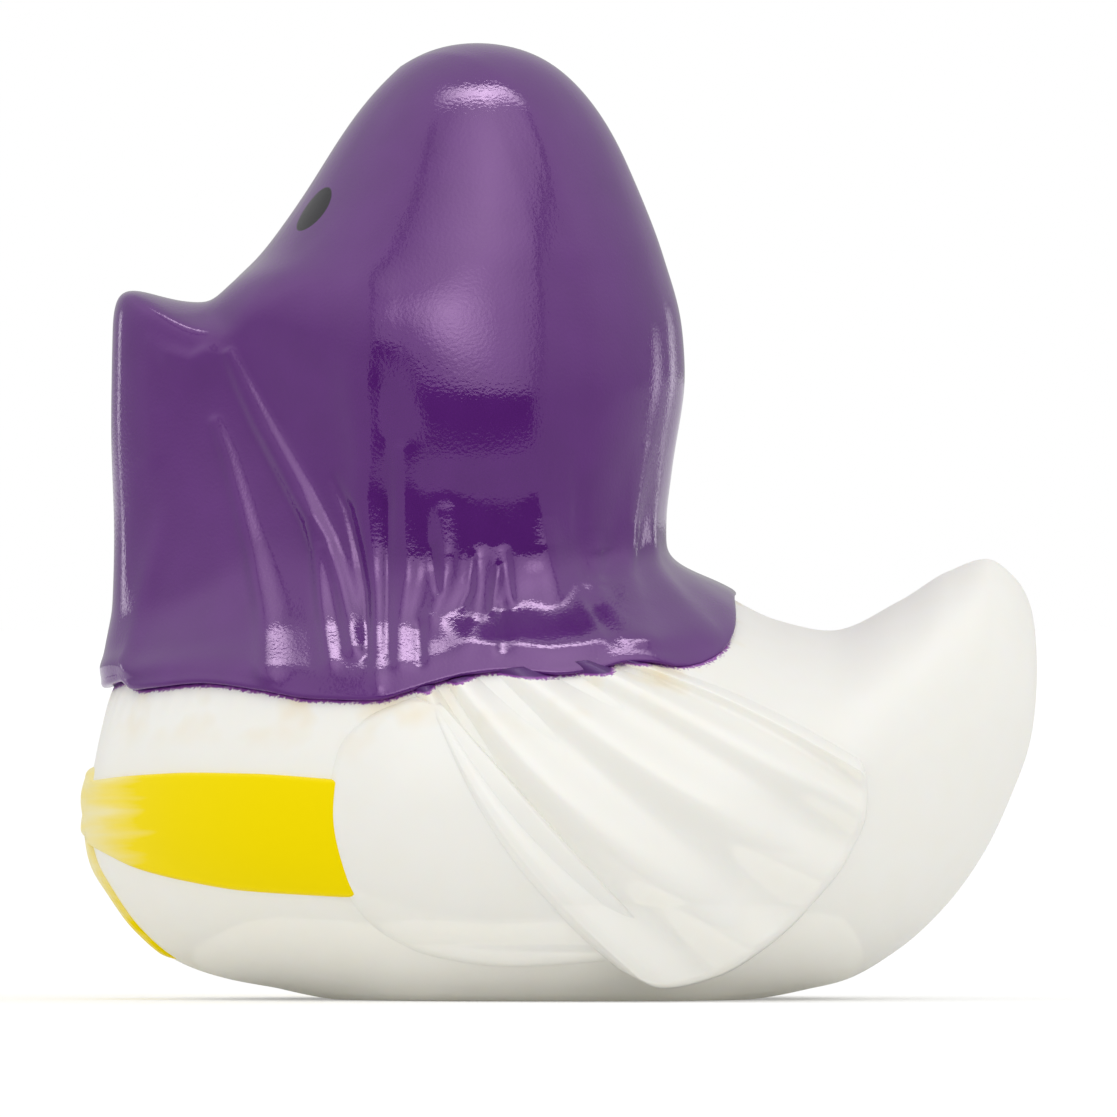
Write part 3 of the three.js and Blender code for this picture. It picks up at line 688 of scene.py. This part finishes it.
def buildSashPaint():
    material, nodes, links, shader = newMaterial("sashPaint", yellow["roughness"])
    shader.inputs["Specular Tint"].default_value = yellow["sheen"]
    shader.inputs["Specular IOR Level"].default_value = yellow["gloss"]
    place, _ = addSkin(nodes, links, shader, yellow)
    split = nodes.new("ShaderNodeSeparateXYZ")
    links.new(place.outputs["Object"], split.inputs[0])
    fade = ramp(nodes, links, split.outputs["X"], yellow["fadeFrom"], yellow["fadeTo"])
    stretch = nodes.new("ShaderNodeMapping")
    stretch.inputs["Scale"].default_value = yellow["streaks"]
    links.new(place.outputs["Object"], stretch.inputs["Vector"])
    streak = nodes.new("ShaderNodeTexNoise")
    streak.inputs["Scale"].default_value = 1
    streak.inputs["Detail"].default_value = 2
    links.new(stretch.outputs[0], streak.inputs["Vector"])
    brushed = mathNode(nodes, links, "MULTIPLY", streak.outputs["Fac"], yellow["streakShare"])
    wear = ramp(nodes, links, mathNode(nodes, links, "ADD", fade, brushed), *yellow["wornShows"])
    links.new(mixColour(nodes, links, wear, yellow["full"], yellow["worn"]), shader.inputs["Base Color"])
    return material


hoodPaint, whiteVinyl, sashPaint = buildHoodPaint(), buildVinyl(), buildSashPaint()
print("materials made")

# body and hood
bodyMesh = sphereMesh("body", bodyGrid())
pierceVent(bodyMesh)
markSpray(bodyMesh)
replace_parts(makePiece("body", bodyMesh, whiteVinyl), "duck")
makePiece("hood", sphereMesh("hood", hoodGrid()), hoodPaint)

# sash, knot and tie end
embed = 0.5  # how deep raised work reaches into the body
sash = {"end": 29.0, "relief": 0.5, "edge": 0.45, "steps": (420, 60)}
sashUpper = curve((0, 49.8), (6, 51.2), (13, 52), (19, 51.8), (27, 50.5))
sashLower = curve((0, 35), (6, 29.5), (12, 26.5), (17, 24.8), (27, 23.4))
tie = {
    "width": 11.0, "length": 11.0, "foot": 9.0, "top": 38.0, "relief": 0.5, "edge": 0.6,
    "steps": (60, 110),
}
knot = {"width": 9.0, "foot": 36.0, "top": 53.0, "relief": 0.8, "edge": 0.16, "steps": (60, 90)}


def placeSash(across, rise):
    turn = (across - 0.5) * 2
    along = sash["end"] * (1 - np.cos(turn * np.pi / 2))
    lower, upper = sashLower(along), sashUpper(along)
    up = mix(lower, upper, rise)
    edge = roundedEdge(np.minimum(rise, 1 - rise) * bodyZ(upper - lower), sash["edge"])
    return acrossChest(-turn, sash["end"], up, -embed + (sash["relief"] + embed) * edge)


def placeTie(across, rise):
    up = mix(tie["foot"], tie["top"], rise)
    spread = tie["width"] / body["width"] * (1.1 - 0.5 * rise)
    sides, foot = np.minimum(across, 1 - across) * tie["width"], rise * tie["length"]
    edge = roundedEdge(sides, tie["edge"]) * roundedEdge(foot, tie["edge"])
    relief = -embed + (tie["relief"] + embed) * edge
    return acrossChest((0.5 - across) * spread * 2, sash["end"], up, relief)


def placeKnot(across, rise):
    up = mix(knot["foot"], knot["top"], rise)
    cushion = np.sqrt(np.sin(np.pi * across))
    bulge = 0.75 + 0.25 * np.abs(np.cos(2 * np.pi * rise - 0.6))
    end = roundedEdge(np.minimum(rise, 1 - rise), knot["edge"])
    width = knot["width"] / body["width"] * (0.8 + 0.2 * bulge)
    relief = -embed + (knot["relief"] * bulge + embed) * cushion * end
    return acrossChest((0.5 - across) * width * 2, sash["end"], up, relief)


makePiece("sash", plateMesh("sash", sash["steps"], placeSash), sashPaint)
makePiece("tieEnd", plateMesh("tieEnd", tie["steps"], placeTie), sashPaint)
makePiece("knot", plateMesh("knot", knot["steps"], placeKnot), sashPaint)

# thighs and pleated sleeves
thigh = {"relief": 1.3, "hang": 13.0, "edge": 0.12, "endEdge": 0.03, "steps": (260, 70)}
thighEdge = (
    curve((0, 34.5), (12, 29.6), (24, 26.3), (38, 25.2), (52, 26.6), (64, 30.4), (76, 37), (88, 45),
          (100, 56)),
    curve((0, 69), (12, 64.5), (24, 56.5), (38, 42), (52, 27.5), (64, 16.2), (76, 10), (88, 7.9),
          (100, 9.5)),
)
thighSpine = (curve((0, 37), (100, 60)), curve((0, 68), (100, 14)))
sleeve = {
    "relief": 2.0, "pleat": 1.6, "hang": 22.0, "edge": 0.9, "embed": 0.6, "steps": (170, 230),
    "length": 38, "shoulderWidth": 12, "cuffWidth": 38,
}
shoulder = (curve((0, 34), (100, 57)), curve((0, 71), (50, 76), (100, 78)))
cuff = (
    curve((0, 56), (8, 60.5), (20, 66), (35, 71.5), (50, 76), (65, 79.8), (80, 81.8), (91, 82),
          (100, 81.3)),
    curve((0, 7.2), (8, 3), (20, 5.5), (35, 12.5), (50, 21.5), (65, 32), (80, 42), (91, 49), (100, 54.5)),
)
sleeveBow = curve((0, 2.2), (50, 0), (100, 0))
sleeveSag = curve((0, 4), (50, 0), (100, -2.5))
ridges = ((6, 8), (20, 33), (46, 59), (78, 80), (97, 97))  # place across at shoulder and cuff


def placeThigh(side):
    def place(around, inward):
        depth = inward ** 1.4
        along, up = (mix(thighEdge[i](around * 100), thighSpine[i](around * 100), depth) for i in (0, 1))
        swell = thigh["relief"] * np.sin(np.pi / 2 * np.minimum(1, inward * 2)) ** 0.7
        ends = roundedEdge(np.minimum(around, 1 - around), thigh["endEdge"])
        relief = -embed + (swell + embed) * roundedEdge(inward, thigh["edge"]) * ends
        relief = np.where(inward > 0.999, -embed, relief)
        return onFlank(bodyX(along), bodyZ(up), side, relief, bodyZ(thigh["hang"]))
    return place


def pleatRise(across, length):
    centres = [mix(start, end, length) for start, end in ridges]
    phase = np.zeros_like(across)
    for i in range(len(centres) - 1):
        gap = (across - centres[i]) / (centres[i + 1] - centres[i])
        phase = np.where((gap >= 0) & (gap < 1), gap, phase)
    return np.where((across < centres[0]) | (across > centres[-1]), 1, np.cos(2 * np.pi * phase))


def placeSleeve(side):
    def place(length, width):
        across = 100 * width
        bow = np.sin(np.pi * length)
        along, up = (mix(shoulder[i](across), cuff[i](across), length) for i in (0, 1))
        along, up = along - bow * sleeveBow(across), up - bow * sleeveSag(across)
        wide = mix(sleeve["shoulderWidth"], sleeve["cuffWidth"], length)
        rim = np.minimum(np.minimum(width, 1 - width) * wide, (1 - length) * sleeve["length"])
        rise = sleeve["relief"] * (0.2 + 0.8 * length) + sleeve["pleat"] / 2 * pleatRise(across, length)
        soft = np.minimum(1, 0.4 + np.minimum(across / 8, (100 - across) / 9))
        relief = -sleeve["embed"] + (rise * soft + sleeve["embed"]) * roundedEdge(rim, sleeve["edge"])
        relief = np.where(length < 0.001, -sleeve["embed"], relief)
        return onFlank(bodyX(along), bodyZ(up), side, relief, bodyZ(sleeve["hang"]))
    return place


for side, word in ((-1, "Left"), (1, "Right")):
    thighMesh = plateMesh("thigh" + word, thigh["steps"], placeThigh(side))
    markSpray(thighMesh)
    makePiece("thigh" + word, thighMesh, whiteVinyl)
    sleeveMesh = plateMesh("sleeve" + word, sleeve["steps"], placeSleeve(side))
    markSpray(sleeveMesh)
    makePiece("sleeve" + word, sleeveMesh, whiteVinyl)

# floor, world and lights
studio = {
    "worldLight": 0.93, "horizonGloss": 0.78, "zenithGloss": 1.45, "behindGloss": 0.55,
    "floorColour": 0.86, "floorLift": 0.25,  # the lift brings the floor to white in the picture
}


def addFloor():
    bm = bmesh.new()
    bmesh.ops.create_grid(bm, x_segments=1, y_segments=1, size=20)
    mesh = bpy.data.meshes.new("floor")
    bm.to_mesh(mesh)
    bm.free()
    floor = bpy.data.objects.new("floor", mesh)
    bpy.context.scene.collection.objects.link(floor)
    material, nodes, links, shader = newMaterial("floorWhite", 0.7)
    grey = studio["floorColour"]
    shader.inputs["Base Color"].default_value = (grey, grey, grey, 1)
    shader.inputs["Specular IOR Level"].default_value = 0
    glow, both = nodes.new("ShaderNodeEmission"), nodes.new("ShaderNodeAddShader")
    path = nodes.new("ShaderNodeLightPath")
    lift = mathNode(nodes, links, "MULTIPLY", path.outputs["Is Camera Ray"], studio["floorLift"])
    glow.inputs["Color"].default_value = (1, 1, 1, 1)
    links.new(lift, glow.inputs["Strength"])
    links.new(shader.outputs[0], both.inputs[0])
    links.new(glow.outputs[0], both.inputs[1])
    links.new(both.outputs[0], nodes["Material Output"].inputs["Surface"])
    mesh.materials.append(material)
    floor.visible_shadow = False  # lets the soft light from below reach the duck's underside


def addWorld():
    world = bpy.data.worlds.new("studio")
    bpy.context.scene.world = world
    world.use_nodes = True
    nodes, links = world.node_tree.nodes, world.node_tree.links
    background, path = nodes["Background"], nodes.new("ShaderNodeLightPath")
    background.inputs["Color"].default_value = (1, 1, 1, 1)
    towards, split = nodes.new("ShaderNodeTexCoord"), nodes.new("ShaderNodeSeparateXYZ")
    links.new(towards.outputs["Generated"], split.inputs[0])
    seen = nodes.new("ShaderNodeMapRange")  # what the gloss mirrors is brighter overhead
    seen.inputs["From Max"].default_value = 0.6
    seen.inputs["To Min"].default_value = studio["horizonGloss"]
    seen.inputs["To Max"].default_value = studio["zenithGloss"]
    links.new(split.outputs["Z"], seen.inputs["Value"])
    behind = nodes.new("ShaderNodeMapRange")  # and dimmer behind the duck
    behind.inputs["From Max"].default_value = 0.7
    behind.inputs["To Min"].default_value = 1
    behind.inputs["To Max"].default_value = studio["behindGloss"]
    links.new(split.outputs["Y"], behind.inputs["Value"])
    mirrored = mathNode(nodes, links, "MULTIPLY", seen.outputs[0], behind.outputs[0])
    glossy, level = nodes.new("ShaderNodeMix"), nodes.new("ShaderNodeMix")
    links.new(path.outputs["Is Glossy Ray"], glossy.inputs["Factor"])
    glossy.inputs["A"].default_value = studio["worldLight"]
    links.new(mirrored, glossy.inputs["B"])
    links.new(path.outputs["Is Camera Ray"], level.inputs["Factor"])
    links.new(glossy.outputs["Result"], level.inputs["A"])
    level.inputs["B"].default_value = 1
    links.new(level.outputs["Result"], background.inputs["Strength"])


def aim(thing, place, target=(0, 0, 0.04)):
    thing.location = place
    thing.rotation_mode = "QUATERNION"
    thing.rotation_quaternion = (Vector(target) - Vector(place)).to_track_quat("-Z", "Y")


# soft light from one direction, the same everywhere and unseen in reflections
def addSky(name, place, strength, spread, colour):
    data = bpy.data.lights.new(name, "SUN")
    data.energy, data.angle, data.color = strength, math.radians(spread), colour
    lamp = bpy.data.objects.new(name, data)
    bpy.context.scene.collection.objects.link(lamp)
    aim(lamp, place)
    lamp.visible_glossy = False


def addCard(name, corners, place=(0, 0, 0), facing=None):  # flat, seen only in the gloss, black so far
    bm = bmesh.new()
    bm.faces.new([bm.verts.new((x, y, 0)) for x, y in corners])
    mesh = bpy.data.meshes.new(name)
    bm.to_mesh(mesh)
    bm.free()
    card = bpy.data.objects.new(name, mesh)
    bpy.context.scene.collection.objects.link(card)
    card.location = place
    if facing:
        aim(card, place, Vector(place) - Vector(facing))
    material, nodes, links, shader = newMaterial(name, 1.0)
    nodes.remove(shader)
    glow = nodes.new("ShaderNodeEmission")
    glow.inputs["Strength"].default_value = 0
    links.new(glow.outputs[0], nodes["Material Output"].inputs["Surface"])
    mesh.materials.append(material)
    card.visible_camera = card.visible_diffuse = card.visible_shadow = False
    return nodes, links, glow


def rectangle(width, height):
    return [(width / 2 * x, height / 2 * y) for x, y in ((-1, -1), (1, -1), (1, 1), (-1, 1))]


def spot(nodes, links, place, centre, size):  # 1 at the centre, falling off evenly to its rim
    shape = nodes.new("ShaderNodeMapping")
    shape.vector_type = "TEXTURE"
    shape.inputs["Location"].default_value = (*centre, 0)
    shape.inputs["Scale"].default_value = (*size, 1)
    length = nodes.new("ShaderNodeVectorMath")
    length.operation = "LENGTH"
    links.new(place.outputs["Object"], shape.inputs["Vector"])
    links.new(shape.outputs[0], length.inputs[0])
    fall = ramp(nodes, links, length.outputs["Value"], 1, 0)
    return mathNode(nodes, links, "SMOOTH_MIN", fall, 1.0, 0.2)


softbox = {
    "width": 1.97, "height": 2.22, "centre": (0.098, -0.70, 1.064), "facing": (0.107, -0.759, 0.643),
    "frame": 0.1, "frameBlur": 0.06, "frameGlow": 0.55, "cloth": 1.5,
    "glow": 2.1, "glowCentre": (0.08, 0.05), "glowSize": (0.85, 1.5),
    "flash": 3.4, "flashCentre": (-0.18, -0.62), "flashSize": (0.5, 0.36),
}
overhead = {"width": 1.0, "height": 0.16, "bow": 0.55, "place": (0.03, 0.0, 1.1), "radiance": 12}


def addSoftbox():  # dim frame, evenly lit cloth, and the lamp glowing through it
    shape = rectangle(softbox["width"], softbox["height"])
    nodes, links, glow = addCard("softbox", shape, softbox["centre"], softbox["facing"])
    place, split = nodes.new("ShaderNodeTexCoord"), nodes.new("ShaderNodeSeparateXYZ")
    links.new(place.outputs["Object"], split.inputs[0])
    aside = mathNode(nodes, links, "ABSOLUTE", split.outputs["X"])
    inset = mathNode(nodes, links, "SUBTRACT", softbox["width"] / 2, aside)
    frame, blur = softbox["frame"], softbox["frameBlur"]
    level = softbox["cloth"]
    for name in ("glow", "flash"):
        lit = spot(nodes, links, place, softbox[name + "Centre"], softbox[name + "Size"])
        lit = mathNode(nodes, links, "MULTIPLY", lit, softbox[name])
        level = mathNode(nodes, links, "ADD", level, lit)
    blend = nodes.new("ShaderNodeMix")
    blend.inputs["A"].default_value = softbox["frameGlow"]
    links.new(level, blend.inputs["B"])
    links.new(ramp(nodes, links, inset, frame - blur, frame + blur), blend.inputs["Factor"])
    links.new(blend.outputs["Result"], glow.inputs["Strength"])


def addOverhead():  # narrow bowed strip over the duck, brightest in its middle
    steps = np.linspace(-0.5, 0.5, 13) * overhead["width"]
    bow = overhead["bow"] * steps ** 2
    edge = [(x, y - overhead["height"] / 2) for x, y in zip(steps, bow)]
    far = [(x, y + overhead["height"] / 2) for x, y in zip(steps[::-1], bow[::-1])]
    nodes, links, glow = addCard("overhead", edge + far, overhead["place"])
    place = nodes.new("ShaderNodeTexCoord")
    lit = spot(nodes, links, place, (0, 0), (overhead["width"] * 0.6, 1))
    links.new(mathNode(nodes, links, "MULTIPLY", lit, overhead["radiance"]), glow.inputs["Strength"])


skies = {  # place, strength, spread in degrees, colour
    "skyFront": ((-0.3, -1.5, 0.5), 0.06, 80, (1, 1, 1)),
    "skyLow": ((0.1, -0.9, -1.8), 1.42, 120, (1, 0.97, 0.86)),
}
rims = {  # degrees round from the camera's side, distance, width, top, radiance
    "leftRim": (-136, 1.5, 0.3, 0.25, 3.0),
    "rightRim": (128, 0.45, 0.09, 0.12, 3.0),
    "backRim": (146, 0.45, 0.07, 0.12, 2.6),
}
darkGap = {"width": 1.97, "height": 0.216, "place": (0.2, -1.41, 0.108), "facing": (0.139, -0.99, 0)}
darkTable = {"corners": [(-0.10, -0.23), (-0.775, -1.547), (1.175, -1.27), (0.167, -0.186)], "lift": 0.002}


def addRim(name, degrees, distance, width, top, radiance):  # upright soft strip that stands on the floor
    turn = math.radians(degrees)
    facing = (math.sin(turn), -math.cos(turn), 0)
    place = (distance * facing[0], distance * facing[1], top / 2)
    nodes, links, glow = addCard(name, rectangle(width, top), place, facing)
    lit = spot(nodes, links, nodes.new("ShaderNodeTexCoord"), (0, 0), (width / 2, top))
    links.new(mathNode(nodes, links, "MULTIPLY", lit, radiance), glow.inputs["Strength"])


addFloor()
addWorld()
for name, values in skies.items():
    addSky(name, *values)
addSoftbox()
addOverhead()
for name, values in rims.items():
    addRim(name, *values)
addCard("darkGap", rectangle(darkGap["width"], darkGap["height"]), darkGap["place"], darkGap["facing"])
addCard("darkTable", darkTable["corners"], (0, 0, darkTable["lift"]))
bpy.context.scene.view_settings.view_transform = "Standard"
print("studio set")
